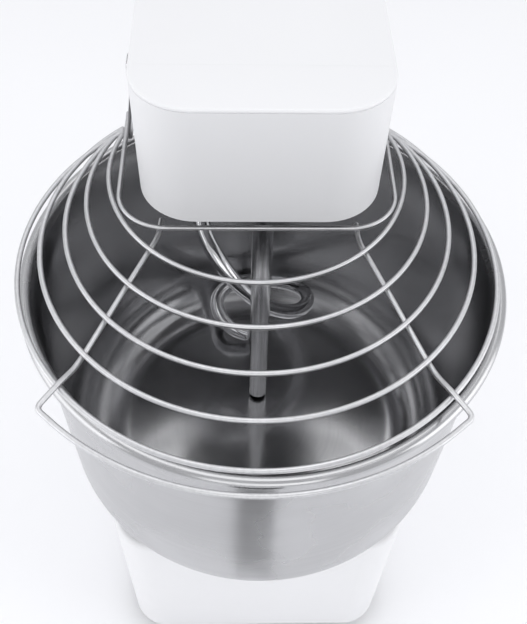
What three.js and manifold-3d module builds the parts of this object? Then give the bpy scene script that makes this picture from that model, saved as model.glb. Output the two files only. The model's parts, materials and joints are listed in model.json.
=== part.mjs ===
// Spiral dough mixer, 30 litre class, in millimetres with +Z up.
//
// The machine group has its own origin on the bowl's axis, level with the middle of the bowl's rolled rim.
// +X is the machine's right side, -Y is its front, and the column stands at the rear.
// The last lines stand the group on the floor with its middle over the origin.

import * as THREE from 'three';
import { mergeVertices } from 'three/addons/utils/BufferGeometryUtils.js';
import Module from 'manifold-3d';

const wasm = await Module();
wasm.setup();

// ---- Driving dimensions ----

const GAP = 0.3; // between pieces that touch
const SHEET = 2.5; // painted steel covers
const BASE_FLOOR = 3; // plate under the base
const RIM_HEIGHT = 561; // from the floor to the middle of the bowl's rim

const BASE = { halfWidth: 155.3, front: -142.6, back: 445, top: -287.4, bottom: -541, cornerRadius: 42.8 };
const FOOT = { radius: 25, x: 122, frontY: -98, rearY: 400 };
const GLAND = { x: 70, z: -495, radius: 7.5 };
const BRIDGE = { halfWidth: 140, plate: 6, top: -430, front: 100, depth: 200 }; // carries the lower bearings
// The head and column stand a little to the left of the bowl's axis.
const COLUMN = { x: -3.3, halfWidth: 104, front: 222, back: 442, cornerRadius: 20 };
const LOUVRE = { count: 8, halfWidth: 60, height: 7, pitch: 18, lowest: -200 };
const HEAD = {
  x: COLUMN.x,
  halfWidth: COLUMN.halfWidth,
  front: 8.7,
  back: 445,
  top: 166,
  bottom: 48.4,
  cornerRadius: 50,
};
const HOOD_SEAM_Y = 61.6; // where the front hood meets the rest of the head's cover
const HEAD_PLATE = { bottom: 48.7, top: 56.7 };

const RIM = { radius: 206, beadRadius: 5.1 };
const BOWL = { topRadius: 201.4, bottomRadius: 198.6, wall: 1.5, bottom: -274.4, filletRadius: 59 };
const BOWL_SHAFT = { radius: 17.5, top: BASE.top + 1, bottom: -382 };
const BAR = { radius: 10, y: 39.6, bottom: -267.9, top: 100 };

const HOOK_Y = 122;
const HOOK_ROD_RADIUS = 8.25;
// The hook's rod winds round its own axis. Each station is [distance from the axis, height],
// one every HOOK_STEP degrees, from the hub down to the tip near the bowl's floor.
const HOOK_START = 280;
const HOOK_STEP = 71;
const HOOK_STATIONS = [
  [6, 32],
  [56, -46],
  [56, -90],
  [55, -157],
  [57, -201],
  [54, -232],
  [56, -237],
  [17, -257],
];

const WIRE_RADIUS = 2.25;
const GUARD_X = -5; // the guard sits a little to the left of the machine's middle
const GUARD_Z = 26;
const RAIL = { halfWidth: 124, front: 22.5, back: 174, cornerRadius: 42 };
// Each arc is part of a circle, and all of them draw together where they meet the rails.
const GUARD_ARCS = [
  { radius: 135.4, y: 96.7 },
  { radius: 152.3, y: 67.7 },
  { radius: 167.5, y: 39.4 },
  { radius: 185.7, y: 16.5 },
  { radius: 200.4, y: -9.2 },
];
const WELD_PITCH = 2 * WIRE_RADIUS + GAP; // between the middles of two wires that touch
const HANDLE = { lowZ: 21.2, highZ: 30.8, front: { radius: 225.7, y: -5.3 }, halfSpan: 153, turn: -1.6 };
const HINGE = { y: 98, z: 134, holeRadius: 5.3 };
// The arms are flat strips that lean back from the hinge to the rear ends of the rails.
const ARM = {
  thickness: 3,
  width: 30,
  sideGap: 1.2, // from the head's side to the arm
  footY: 154,
  bottom: 20,
  bendLow: 34,
  bendHigh: 124,
  top: 149,
};

const COUNTERSHAFT = { y: 250, radius: 12.5, top: 120, bottom: -428 };
const REDUCTION = { y: 150, radius: 10, top: -358, bottom: -428 };
const MOTOR = { y: 376, radius: 62, top: 20, bottom: -198, shaftRadius: 9.5, shaftTop: 98, shaftBottom: -218 };
const CHAIN_PITCH = 9.525;
const CHAIN = { height: 8, thickness: 4.5 };
const TOOTH = 3; // from a sprocket's pitch circle to the tip of a tooth
const LEVEL = { belt: 85, upperChain: 108, bowlChain: -372, lowerChain: -400 };
const BELT = { width: 10, bigRadius: 90, smallRadius: 28, depth: 8 };
const TEETH = { driver: 17, hook: 38, lowerDriver: 13, reduction: 49, bowlDriver: 13, bowl: 78 };

const PANEL = { front: 344, back: 430, bottom: 60, top: 152, thickness: 4 };
const CONTROL_PITCH = 42;

// ---- Materials ----

function metal(color, roughness, metalness = 1) {
  return new THREE.MeshStandardMaterial({ color, roughness, metalness });
}

const paint = metal(0xf1f2f2, 0.45, 0);
const stainless = metal(0xb9bcc0, 0.3);
const wire = metal(0xe2e4e6, 0.22);
const steel = metal(0x8d9197, 0.4);
const castIron = metal(0x4a4d52, 0.7, 0.6);
const rubber = metal(0x1c1c1e, 0.85, 0);
const darkPlastic = metal(0x26282b, 0.5, 0);
const greenPlastic = metal(0x1f9a4a, 0.4, 0);
const redPlastic = metal(0xc62121, 0.4, 0);

// ---- Solid helpers ----

// Leaves only positions, with shared vertices, and turns the faces outward.
function weld(geometry) {
  const bare = geometry.clone();
  bare.deleteAttribute('normal');
  bare.deleteAttribute('uv');
  const merged = mergeVertices(bare, 1e-4);
  const corners = merged.index.array;
  const point = (corner) => new THREE.Vector3().fromBufferAttribute(merged.attributes.position, corner);
  const kept = [];
  let volume = 0;
  for (let i = 0; i < corners.length; i += 3) {
    const [a, b, c] = [corners[i], corners[i + 1], corners[i + 2]];
    if (a === b || b === c || c === a) continue;
    kept.push(a, b, c);
    volume += point(a).dot(point(b).cross(point(c)));
  }
  if (volume < 0) kept.reverse();
  merged.setIndex(kept);
  return merged;
}

function solidFrom(geometry) {
  const welded = weld(geometry);
  const vertProperties = welded.attributes.position.array;
  const triVerts = new Uint32Array(welded.index.array);
  return new wasm.Manifold(new wasm.Mesh({ numProp: 3, vertProperties, triVerts }));
}

function geometryFrom(solid) {
  const mesh = solid.getMesh();
  const geometry = new THREE.BufferGeometry();
  geometry.setAttribute('position', new THREE.BufferAttribute(mesh.vertProperties, 3));
  geometry.setIndex(new THREE.BufferAttribute(mesh.triVerts, 1));
  return geometry;
}

function cut(geometry, ...tools) {
  return geometryFrom(tools.reduce((solid, tool) => solid.subtract(solidFrom(tool)), solidFrom(geometry)));
}

function join(...geometries) {
  return geometryFrom(geometries.map(solidFrom).reduce((whole, solid) => whole.add(solid)));
}

// ---- Shape helpers ----

function box([x0, x1], [y0, y1], [z0, z1]) {
  const geometry = new THREE.BoxGeometry(x1 - x0, y1 - y0, z1 - z0);
  return geometry.translate((x0 + x1) / 2, (y0 + y1) / 2, (z0 + z1) / 2);
}

function upright(radius, y, [z0, z1], sides = 20, x = 0) {
  const geometry = new THREE.CylinderGeometry(radius, radius, z1 - z0, sides);
  return geometry.rotateX(Math.PI / 2).translate(x, y, (z0 + z1) / 2);
}

function crosswise(radius, [x0, x1], y, z, sides = 16) {
  const geometry = new THREE.CylinderGeometry(radius, radius, x1 - x0, sides);
  return geometry.rotateZ(Math.PI / 2).translate((x0 + x1) / 2, y, z);
}

// Turns a profile of [radius, height] points round an upright axis at y.
function turned(profile, y = 0, segments = 20) {
  const points = profile.map(([radius, height]) => new THREE.Vector2(radius, height));
  return new THREE.LatheGeometry(points, segments).rotateX(Math.PI / 2).translate(0, y, 0);
}

function arcPoints(x, y, radius, fromDegrees, toDegrees, steps) {
  return Array.from({ length: steps + 1 }, (_, i) => {
    const angle = THREE.MathUtils.degToRad(fromDegrees + ((toDegrees - fromDegrees) * i) / steps);
    return [x + radius * Math.cos(angle), y + radius * Math.sin(angle)];
  });
}

function shapeFrom(points) {
  return new THREE.Shape(points.map(([x, y]) => new THREE.Vector2(x, y)));
}

// Raises a flat outline, drawn in X and Y, from one height to another.
function raised(shape, [z0, z1]) {
  const geometry = new THREE.ExtrudeGeometry(shape, { depth: z1 - z0, bevelEnabled: false });
  return geometry.translate(0, 0, z0);
}

// A plan outline with rounded corners, symmetric about the line at x.
function planOutline({ x = 0, halfWidth, front, back, frontRadius, backRadius = 0, steps = 6 }) {
  const corner = (side, radius, y, from) => {
    if (radius <= 0) return [[x + side * halfWidth, y]];
    const inward = y === front ? 1 : -1;
    const middleX = x + side * (halfWidth - radius);
    return arcPoints(middleX, y + inward * radius, radius, from, from + 90, steps);
  };
  return shapeFrom([
    ...corner(-1, frontRadius, front, 180),
    ...corner(1, frontRadius, front, 270),
    ...corner(1, backRadius, back, 0),
    ...corner(-1, backRadius, back, 90),
  ]);
}

function rod(curve, radius, steps, sides = 8) {
  const section = new THREE.Shape().absarc(0, 0, radius, 0, 2 * Math.PI);
  const settings = { steps, extrudePath: curve, bevelEnabled: false, curveSegments: sides / 2 };
  return new THREE.ExtrudeGeometry(section, settings);
}

const machine = new THREE.Group();

function add(name, geometry, material) {
  const mesh = new THREE.Mesh(weld(geometry), material);
  mesh.name = name;
  machine.add(mesh);
}

// ---- Base ----

function baseShell() {
  const corners = { frontRadius: BASE.cornerRadius, backRadius: 20 };
  const outer = raised(planOutline({ ...BASE, ...corners }), [BASE.bottom, BASE.top]);
  const inside = planOutline({
    halfWidth: BASE.halfWidth - SHEET,
    front: BASE.front + SHEET,
    back: BASE.back - SHEET,
    frontRadius: BASE.cornerRadius - SHEET,
    backRadius: 20 - SHEET,
  });
  const hollow = raised(inside, [BASE.bottom - 1, BASE.top - SHEET]);
  const bowlShaftHole = upright(24, 0, [BASE.top - 10, BASE.top + 10]);
  const countershaftHole = upright(18, COUNTERSHAFT.y, [BASE.top - 10, BASE.top + 10]);
  const glandHole = upright(GLAND.radius + 0.5, 0, [-10, 10]).rotateX(Math.PI / 2);
  glandHole.translate(GLAND.x, BASE.back, GLAND.z);
  return cut(outer, hollow, bowlShaftHole, countershaftHole, glandHole);
}

function baseFloor() {
  const inset = SHEET + 0.5;
  const outline = planOutline({
    halfWidth: BASE.halfWidth - inset,
    front: BASE.front + inset,
    back: BASE.back - inset,
    frontRadius: BASE.cornerRadius - inset,
    backRadius: 20 - inset,
  });
  return raised(outline, [BASE.bottom, BASE.bottom + BASE_FLOOR]);
}

function driveBridge() {
  const { halfWidth: half, plate, top, front, depth } = BRIDGE;
  const foot = BASE.bottom + BASE_FLOOR + GAP;
  const profile = shapeFrom([
    [-half, foot],
    [-half, top],
    [half, top],
    [half, foot],
    [half - plate, foot],
    [half - plate, top - plate],
    [plate - half, top - plate],
    [plate - half, foot],
  ]);
  const geometry = new THREE.ExtrudeGeometry(profile, { depth, bevelEnabled: false });
  return geometry.rotateX(Math.PI / 2).translate(0, front + depth, 0);
}

function cableGland() {
  const profile = [
    [0, -14],
    [GLAND.radius, -14],
    [GLAND.radius, SHEET / 2 + GAP],
    [14, SHEET / 2 + GAP],
    [14, 7],
    [10.5, 9],
    [10.5, 18],
    [0, 18],
  ];
  return turned(profile, 0, 20).rotateX(-Math.PI / 2).translate(GLAND.x, BASE.back, GLAND.z);
}

add('base_shell', baseShell(), paint);
add('base_floor', baseFloor(), steel);
add('drive_bridge', driveBridge(), steel);
add('cable_gland', cableGland(), darkPlastic);
for (const [end, y] of [['front', FOOT.frontY], ['rear', FOOT.rearY]]) {
  for (const [side, sign] of [['left', -1], ['right', 1]]) {
    const height = [-RIM_HEIGHT, BASE.bottom - GAP];
    add(`foot_${end}_${side}`, upright(FOOT.radius, y, height, 20, sign * FOOT.x), rubber);
  }
}

// ---- Column and head ----

function columnShell() {
  const height = [BASE.top + GAP, HEAD.bottom - GAP];
  const outer = planOutline({ ...COLUMN, frontRadius: COLUMN.cornerRadius });
  const inner = planOutline({
    x: COLUMN.x,
    halfWidth: COLUMN.halfWidth - SHEET,
    front: COLUMN.front + SHEET,
    back: COLUMN.back + 1,
    frontRadius: COLUMN.cornerRadius - SHEET,
  });
  return cut(raised(outer, height), raised(inner, [height[0] - 1, height[1] + 1]));
}

function rearPanel() {
  const across = (halfWidth) => [COLUMN.x - halfWidth, COLUMN.x + halfWidth];
  const front = COLUMN.back + GAP;
  const height = [BASE.top + GAP, HEAD.bottom - GAP];
  const plate = box(across(COLUMN.halfWidth - GAP), [front, BASE.back], height);
  const louvres = Array.from({ length: LOUVRE.count }, (_, i) => {
    const z = LOUVRE.lowest + LOUVRE.pitch * i;
    return box(across(LOUVRE.halfWidth), [front - 1, BASE.back + 1], [z, z + LOUVRE.height]);
  });
  return cut(plate, ...louvres);
}

// The head's cover in plan between two Y lines, as a shell that is open below.
function headShell(from, to, hasFront) {
  const rounding = { frontRadius: hasFront ? HEAD.cornerRadius : 0, backRadius: hasFront ? 0 : 12 };
  const outer = planOutline({ x: HEAD.x, halfWidth: HEAD.halfWidth, front: from, back: to, ...rounding });
  const inner = planOutline({
    x: HEAD.x,
    halfWidth: HEAD.halfWidth - SHEET,
    front: hasFront ? from + SHEET : from - 1,
    back: hasFront ? to + 1 : to - SHEET,
    frontRadius: Math.max(0, rounding.frontRadius - SHEET),
    backRadius: Math.max(0, rounding.backRadius - SHEET),
  });
  const hollow = raised(inner, [HEAD.bottom - 1, HEAD.top - SHEET]);
  return cut(raised(outer, [HEAD.bottom, HEAD.top]), hollow);
}

function headCover() {
  const pinHoles = crosswise(HINGE.holeRadius, [-120, 120], HINGE.y, HINGE.z);
  const window = box([95, 110], [PANEL.front + 8, PANEL.back - 8], [PANEL.bottom + 8, PANEL.top - 8]);
  return cut(headShell(HOOD_SEAM_Y + GAP, HEAD.back, false), pinHoles, window);
}

function headBottomPlate() {
  const inset = SHEET + 0.4;
  const outline = planOutline({
    x: HEAD.x,
    halfWidth: HEAD.halfWidth - inset,
    front: HEAD.front + inset,
    back: HEAD.back - inset,
    frontRadius: HEAD.cornerRadius - inset,
    backRadius: 12 - inset,
  });
  const height = [HEAD_PLATE.bottom - 10, HEAD_PLATE.top + 10];
  return cut(
    raised(outline, [HEAD_PLATE.bottom, HEAD_PLATE.top]),
    upright(BAR.radius + 0.4, BAR.y, height),
    upright(16, HOOK_Y, height),
    upright(COUNTERSHAFT.radius + 2, COUNTERSHAFT.y, height),
    upright(14, MOTOR.y, height),
  );
}

add('column_shell', columnShell(), paint);
add('rear_panel', rearPanel(), paint);
add('head_hood', headShell(HEAD.front, HOOD_SEAM_Y, true), paint);
add('head_cover', headCover(), paint);
add('head_bottom_plate', headBottomPlate(), stainless);

// ---- Breaker bar ----

const clampBlock = box([-26, 26], [14, 60], [HEAD_PLATE.top + GAP, 98]);
add('breaker_bar', upright(BAR.radius, BAR.y, [BAR.bottom, BAR.top]), stainless);
add('bar_clamp', cut(clampBlock, upright(BAR.radius + GAP, BAR.y, [40, 110])), castIron);

// ---- Bowl ----

function bowlProfile() {
  const { topRadius, bottomRadius, wall, bottom, filletRadius } = BOWL;
  const corner = [bottomRadius - filletRadius, bottom + filletRadius];
  return [
    [0, bottom + wall],
    ...arcPoints(...corner, filletRadius - wall, -90, 0, 5),
    [topRadius - wall, -6],
    ...arcPoints(RIM.radius, 0, RIM.beadRadius, 190, -145, 7),
    [topRadius, -6],
    ...arcPoints(...corner, filletRadius, 0, -90, 5),
    [0, bottom],
  ];
}

function ring(inner, outer, [z0, z1], y, segments = 20) {
  return turned([[inner, z0], [outer, z0], [outer, z1], [inner, z1], [inner, z0]], y, segments);
}

function sprocket(teeth, bore, y, level) {
  const pitchRadius = sprocketRadius(teeth);
  const points = [];
  for (let i = 0; i < teeth; i += 1) {
    for (const [share, offset] of [[0, TOOTH], [0.5, -TOOTH]]) {
      const angle = (2 * Math.PI * (i + share)) / teeth;
      const radius = pitchRadius + offset;
      points.push([radius * Math.cos(angle), radius * Math.sin(angle)]);
    }
  }
  const shape = shapeFrom(points);
  shape.holes.push(new THREE.Path().absarc(0, 0, bore + GAP, 0, 2 * Math.PI, true));
  return raised(shape, [level - 3, level + 3]).translate(0, y, 0);
}

function sprocketRadius(teeth) {
  return CHAIN_PITCH / (2 * Math.sin(Math.PI / teeth));
}

// A long bearing tube that hangs from a flange under the base's top.
function flangedBearing(bore, top) {
  const profile = [
    [bore, top - 55],
    [38, top - 55],
    [38, top - 12],
    [62, top - 12],
    [62, top],
    [bore, top],
    [bore, top - 55],
  ];
  return turned(profile);
}


add('bowl', turned(bowlProfile(), 0, 40), stainless);
add('bowl_drive_plate', upright(78, 0, [BASE.top + 1.3, BOWL.bottom - GAP], 32), steel);
add('bowl_shaft', upright(BOWL_SHAFT.radius, 0, [BOWL_SHAFT.bottom, BOWL_SHAFT.top]), steel);
add('bowl_sprocket', sprocket(TEETH.bowl, BOWL_SHAFT.radius, 0, LEVEL.bowlChain), steel);
add('bowl_bearing', flangedBearing(BOWL_SHAFT.radius + 0.5, BASE.top - SHEET - GAP), castIron);

// ---- Hook ----

class HookPath extends THREE.Curve {
  constructor() {
    super();
    this.stations = new THREE.SplineCurve(HOOK_STATIONS.map(([r, z]) => new THREE.Vector2(r, z)));
  }

  getPoint(t, target = new THREE.Vector3()) {
    const station = this.stations.getPoint(t);
    const turn = HOOK_STEP * (HOOK_STATIONS.length - 1) * t;
    const angle = THREE.MathUtils.degToRad(HOOK_START - turn);
    return target.set(station.x * Math.cos(angle), HOOK_Y - station.x * Math.sin(angle), station.y);
  }
}

const hookHub = upright(17, HOOK_Y, [18, HEAD_PLATE.bottom - 1.2]);
const hookBearing = [
  [14.4, HEAD_PLATE.top + GAP],
  [42, HEAD_PLATE.top + GAP],
  [42, 66],
  [22, 66],
  [22, 98],
  [14.4, 98],
  [14.4, HEAD_PLATE.top + GAP],
];
add('hook', join(hookHub, rod(new HookPath(), HOOK_ROD_RADIUS, 54, 8)), stainless);
add('hook_shaft', upright(14, HOOK_Y, [HEAD_PLATE.bottom - 0.9, 122]), steel);
add('hook_sprocket', sprocket(TEETH.hook, 14, HOOK_Y, LEVEL.upperChain), steel);
add('hook_bearing', turned(hookBearing, HOOK_Y), castIron);

// ---- Drive ----

// A closed band round two wheels, that lies in a level plane.
function loopBand(wheels, thickness, [z0, z1]) {
  const [near, far] = wheels;
  const lean = Math.asin((near.radius - far.radius) / (far.y - near.y));
  const leanDegrees = THREE.MathUtils.radToDeg(lean);
  const outline = (extra) => [
    ...arcPoints(0, near.y, near.radius + extra, 180 - leanDegrees, 360 + leanDegrees, 32),
    ...arcPoints(0, far.y, far.radius + extra, leanDegrees, 180 - leanDegrees, 12),
  ];
  const shape = shapeFrom(outline(thickness));
  shape.holes.push(new THREE.Path(outline(0).reverse().map(([x, y]) => new THREE.Vector2(x, y))));
  return raised(shape, [z0, z1]);
}

function chain(nearTeeth, nearY, farTeeth, farY, level) {
  const clear = TOOTH + 0.8; // the band runs just outside the tips of the teeth
  const wheels = [
    { y: nearY, radius: sprocketRadius(nearTeeth) + clear },
    { y: farY, radius: sprocketRadius(farTeeth) + clear },
  ];
  return loopBand(wheels, CHAIN.thickness, [level - CHAIN.height / 2, level + CHAIN.height / 2]);
}

function pulley(pitchRadius, bore, y) {
  const [half, lip, floor] = [9, pitchRadius + 3, pitchRadius - 6];
  const groove = BELT.width / 2 + 0.5;
  const profile = [
    [bore + GAP, -half],
    [lip, -half],
    [lip, -groove],
    [floor, -groove],
    [floor, groove],
    [lip, groove],
    [lip, half],
    [bore + GAP, half],
    [bore + GAP, -half],
  ];
  return turned(profile, y, 24).translate(0, 0, LEVEL.belt);
}

// The belt's inner face runs just outside the faceted floor of each groove.
function belt() {
  const wheels = [
    { y: COUNTERSHAFT.y, radius: BELT.bigRadius - 5 },
    { y: MOTOR.y, radius: BELT.smallRadius - 5 },
  ];
  return loopBand(wheels, BELT.depth, [LEVEL.belt - BELT.width / 2, LEVEL.belt + BELT.width / 2]);
}

const shaftBearing = (bore, y, z) => ring(bore + GAP, bore + 18, [z, z + 15], y);

add('countershaft', upright(COUNTERSHAFT.radius, COUNTERSHAFT.y, [COUNTERSHAFT.bottom, COUNTERSHAFT.top]), steel);
add('belt_pulley', pulley(BELT.bigRadius, COUNTERSHAFT.radius, COUNTERSHAFT.y), castIron);
add('upper_sprocket', sprocket(TEETH.driver, COUNTERSHAFT.radius, COUNTERSHAFT.y, LEVEL.upperChain), steel);
add('lower_sprocket', sprocket(TEETH.lowerDriver, COUNTERSHAFT.radius, COUNTERSHAFT.y, LEVEL.lowerChain), steel);
add('countershaft_top_bearing',
  shaftBearing(COUNTERSHAFT.radius, COUNTERSHAFT.y, HEAD_PLATE.top + GAP), castIron);
add('countershaft_base_bearing', shaftBearing(COUNTERSHAFT.radius, COUNTERSHAFT.y, BRIDGE.top + GAP), castIron);

const reductionRod = upright(REDUCTION.radius, REDUCTION.y, [REDUCTION.bottom, REDUCTION.top]);
// The small teeth that drive the bowl's chain are cut on the shaft itself.
const shaftTeeth = sprocket(TEETH.bowlDriver, REDUCTION.radius - 1 - GAP, REDUCTION.y, LEVEL.bowlChain);
add('reduction_shaft', join(reductionRod, shaftTeeth), steel);
add('reduction_sprocket', sprocket(TEETH.reduction, REDUCTION.radius, REDUCTION.y, LEVEL.lowerChain), steel);
add('reduction_bearing', shaftBearing(REDUCTION.radius, REDUCTION.y, BRIDGE.top + GAP), castIron);

add('upper_chain', chain(TEETH.hook, HOOK_Y, TEETH.driver, COUNTERSHAFT.y, LEVEL.upperChain), steel);
add('lower_chain', chain(TEETH.reduction, REDUCTION.y, TEETH.lowerDriver, COUNTERSHAFT.y, LEVEL.lowerChain), steel);
add('bowl_chain', chain(TEETH.bowl, 0, TEETH.bowlDriver, REDUCTION.y, LEVEL.bowlChain), steel);

add('motor', ring(MOTOR.shaftRadius + GAP, MOTOR.radius, [MOTOR.bottom, MOTOR.top], MOTOR.y, 32), castIron);
const motorShelf = box([HEAD.x - 96, HEAD.x + 96], [306, 441], [MOTOR.top + 0.5, MOTOR.top + 8.5]);
add('motor_mount', cut(motorShelf, upright(14, MOTOR.y, [0, 50])), steel);
add('motor_shaft', upright(MOTOR.shaftRadius, MOTOR.y, [MOTOR.shaftBottom, MOTOR.shaftTop]), steel);
add('motor_pulley', pulley(BELT.smallRadius, MOTOR.shaftRadius, MOTOR.y), castIron);
add('motor_fan', ring(MOTOR.shaftRadius + GAP, 52, [-214, -203], MOTOR.y), darkPlastic);
add('drive_belt', belt(), rubber);

// ---- Controls on the right side of the head ----

const panelFace = HEAD.x + HEAD.halfWidth + GAP + PANEL.thickness;
const panelMiddle = { y: (PANEL.front + PANEL.back) / 2, z: (PANEL.bottom + PANEL.top) / 2 };
const controlPlace = (column, row) => [
  panelMiddle.y + (column * CONTROL_PITCH) / 2,
  panelMiddle.z + (row * CONTROL_PITCH) / 2,
];
const STEM_RADIUS = 5;
const STEM_INNER_X = 95;
const knobPlace = controlPlace(-1, 1);
const emergencyPlace = controlPlace(1, 1);
const startPlace = controlPlace(-1, -1);
const stopPlace = controlPlace(1, -1);

function controlPanel() {
  const plate = box([panelFace - PANEL.thickness, panelFace], [PANEL.front, PANEL.back],
    [PANEL.bottom, PANEL.top]);
  const holes = [
    crosswise(STEM_RADIUS + GAP, [90, 130], ...knobPlace),
    crosswise(STEM_RADIUS + GAP, [90, 130], ...emergencyPlace),
    crosswise(11, [90, 130], ...startPlace),
    crosswise(11, [90, 130], ...stopPlace),
  ];
  return cut(plate, ...holes);
}

function pushButton([y, z]) {
  return crosswise(10.5, [STEM_INNER_X, panelFace + 5], y, z);
}

// A round cap on a stem that passes through the panel.
function cappedStem([y, z], capRadius, cap) {
  return join(crosswise(STEM_RADIUS, [STEM_INNER_X, cap[0] + 1], y, z), crosswise(capRadius, cap, y, z, 28));
}

add('control_panel', controlPanel(), darkPlastic);
add('control_box', box([65, 90], [352, 422], [70, 144]), darkPlastic);
add('timer_knob', cappedStem(knobPlace, 17, [panelFace + 0.8, panelFace + 17]), darkPlastic);
add('emergency_stop', cappedStem(emergencyPlace, 18, [panelFace + 6, panelFace + 18]), redPlastic);
add('start_button', pushButton(startPlace), greenPlastic);
add('stop_button', pushButton(stopPlace), redPlastic);

// ---- Wire guard ----

function guardFrame() {
  const { halfWidth, front, back, cornerRadius } = RAIL;
  const points = [
    [-halfWidth, back],
    ...arcPoints(cornerRadius - halfWidth, front + cornerRadius, cornerRadius, 180, 270, 8),
    ...arcPoints(halfWidth - cornerRadius, front + cornerRadius, cornerRadius, 270, 360, 8),
    [halfWidth, back],
  ];
  return wireThrough(points.map(([x, y]) => new THREE.Vector3(GUARD_X + x, y, GUARD_Z)));
}

// A wire whose cross section stays square to the path at every given point.
function wireThrough(points, sides = 6) {
  const rings = points.map((point, i) => {
    const before = points[Math.max(0, i - 1)];
    const after = points[Math.min(points.length - 1, i + 1)];
    const ahead = after.clone().sub(before).normalize();
    const aside = new THREE.Vector3(0, 0, 1).cross(ahead).normalize();
    const above = ahead.clone().cross(aside);
    return Array.from({ length: sides }, (_, k) => {
      const angle = (2 * Math.PI * (k + 0.5)) / sides;
      const offset = aside.clone().multiplyScalar(WIRE_RADIUS * Math.cos(angle));
      return point.clone().add(offset).addScaledVector(above, WIRE_RADIUS * Math.sin(angle));
    });
  });
  const vertices = rings.flat().flatMap((vertex) => vertex.toArray());
  const triangles = [];
  for (let i = 0; i + 1 < rings.length; i += 1) {
    for (let k = 0; k < sides; k += 1) {
      const [a, b] = [i * sides + k, i * sides + ((k + 1) % sides)];
      triangles.push(a, b, b + sides, a, b + sides, a + sides);
    }
  }
  const last = (rings.length - 1) * sides;
  for (let k = 1; k + 1 < sides; k += 1) {
    triangles.push(0, k + 1, k, last, last + k, last + k + 1);
  }
  const geometry = new THREE.BufferGeometry();
  geometry.setAttribute('position', new THREE.Float32BufferAttribute(vertices, 3));
  geometry.setIndex(triangles);
  return geometry;
}

// How far round its circle an arc runs, measured from the front, before it touches the next arc inside it
// or the rail.
function arcHalfAngle(arc, inner) {
  const step = 0.002;
  const isClear = (angle) => {
    const x = arc.radius * Math.sin(angle);
    const y = arc.y - arc.radius * Math.cos(angle);
    const clearOfArc = !inner || Math.hypot(x, y - inner.y) - inner.radius >= WELD_PITCH;
    return clearOfArc && (angle < Math.PI / 2 || x >= RAIL.halfWidth + WELD_PITCH);
  };
  let halfAngle = Math.PI / 4;
  while (isClear(halfAngle + step)) {
    halfAngle += step;
  }
  return halfAngle;
}

function arcPath(radius, y, z, halfAngle, steps) {
  return Array.from({ length: steps + 1 }, (_, i) => {
    const angle = halfAngle * ((2 * i) / steps - 1);
    return new THREE.Vector3(GUARD_X + radius * Math.sin(angle), y - radius * Math.cos(angle), z);
  });
}

function guardHandle() {
  const { lowZ, highZ, front, halfSpan } = HANDLE;
  const side = [
    [86, 34, lowZ],
    [87, 16, lowZ],
    [93, 0, lowZ],
    [107.4, -39.7, lowZ],
    [119, -74, lowZ],
    [132, -107, lowZ],
    [137, -120, lowZ],
    [142, -132, (lowZ + highZ) / 2],
    [147, -144, highZ],
    [halfSpan, -154, highZ],
  ];
  const halfAngle = Math.asin(160 / front.radius);
  const frontArc = arcPath(front.radius, front.y, highZ, halfAngle, 20);
  const left = side.map(([x, y, z]) => new THREE.Vector3(GUARD_X - x, y, z));
  const right = side.map(([x, y, z]) => new THREE.Vector3(GUARD_X + x, y, z)).reverse();
  // The handle is fitted a little askew, turned in plan about the bowl's axis.
  const upAxis = new THREE.Vector3(0, 0, 1);
  const path = [...left, ...frontArc, ...right];
  path.forEach((point) => point.applyAxisAngle(upAxis, THREE.MathUtils.degToRad(HANDLE.turn)));
  return wireThrough(path);
}

function guardArm(side) {
  const low = GUARD_X + side * (RAIL.halfWidth - WIRE_RADIUS - GAP); // outer face beside the rail
  const high = HEAD.x + side * (HEAD.halfWidth + ARM.sideGap); // inner face beside the head
  const inward = -side * ARM.thickness;
  const profile = shapeFrom([
    [low, ARM.bottom],
    [low, ARM.bendLow],
    [high - inward, ARM.bendHigh],
    [high - inward, ARM.top],
    [high, ARM.top],
    [high, ARM.bendHigh],
    [low + inward, ARM.bendLow],
    [low + inward, ARM.bottom],
  ]);
  const strip = new THREE.ExtrudeGeometry(profile, { depth: ARM.width, bevelEnabled: false });
  strip.rotateX(Math.PI / 2).translate(0, HINGE.y + ARM.width / 2, 0);
  const lean = (ARM.footY - HINGE.y) / (HINGE.z - ARM.bottom);
  const places = strip.attributes.position;
  for (let i = 0; i < places.count; i += 1) {
    places.setY(i, places.getY(i) + lean * (HINGE.z - places.getZ(i)));
  }
  return cut(strip, crosswise(HINGE.holeRadius, [-150, 150], HINGE.y, HINGE.z));
}

// A shouldered bolt: it passes through the head's side, and the arm turns between its collar and its head.
function hingePin(side) {
  const collar = HEAD.halfWidth + GAP;
  const arm = HEAD.halfWidth + ARM.sideGap;
  const profile = [
    [0, 92],
    [9, 92],
    [9, HEAD.halfWidth - SHEET - GAP],
    [5, HEAD.halfWidth - SHEET - GAP],
    [5, collar],
    [9, collar],
    [9, arm - GAP / 2],
    [5, arm - GAP / 2],
    [5, arm + ARM.thickness + GAP],
    [7, arm + ARM.thickness + GAP],
    [7, arm + ARM.thickness + 1.8],
    [0, arm + ARM.thickness + 1.8],
  ];
  return turned(profile, 0, 12).rotateY((side * Math.PI) / 2).translate(HEAD.x, HINGE.y, HINGE.z);
}

add('guard_frame', guardFrame(), wire);
GUARD_ARCS.forEach((arc, i) => {
  const touchAngle = arcHalfAngle(arc, GUARD_ARCS[i - 1]);
  add(`guard_arc_${i + 1}`, wireThrough(arcPath(arc.radius, arc.y, GUARD_Z, touchAngle, 24)), wire);
});
add('guard_handle', guardHandle(), wire);
for (const [side, sign] of [['left', -1], ['right', 1]]) {
  add(`guard_arm_${side}`, guardArm(sign), stainless);
  add(`hinge_pin_${side}`, hingePin(sign), steel);
}
add('guard_switch', box([-92, -68], [HINGE.y - 14, HINGE.y + 14], [HINGE.z - 18, HINGE.z + 12]), darkPlastic);

// ---- Stand the machine on the floor, with its middle over the origin ----

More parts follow.
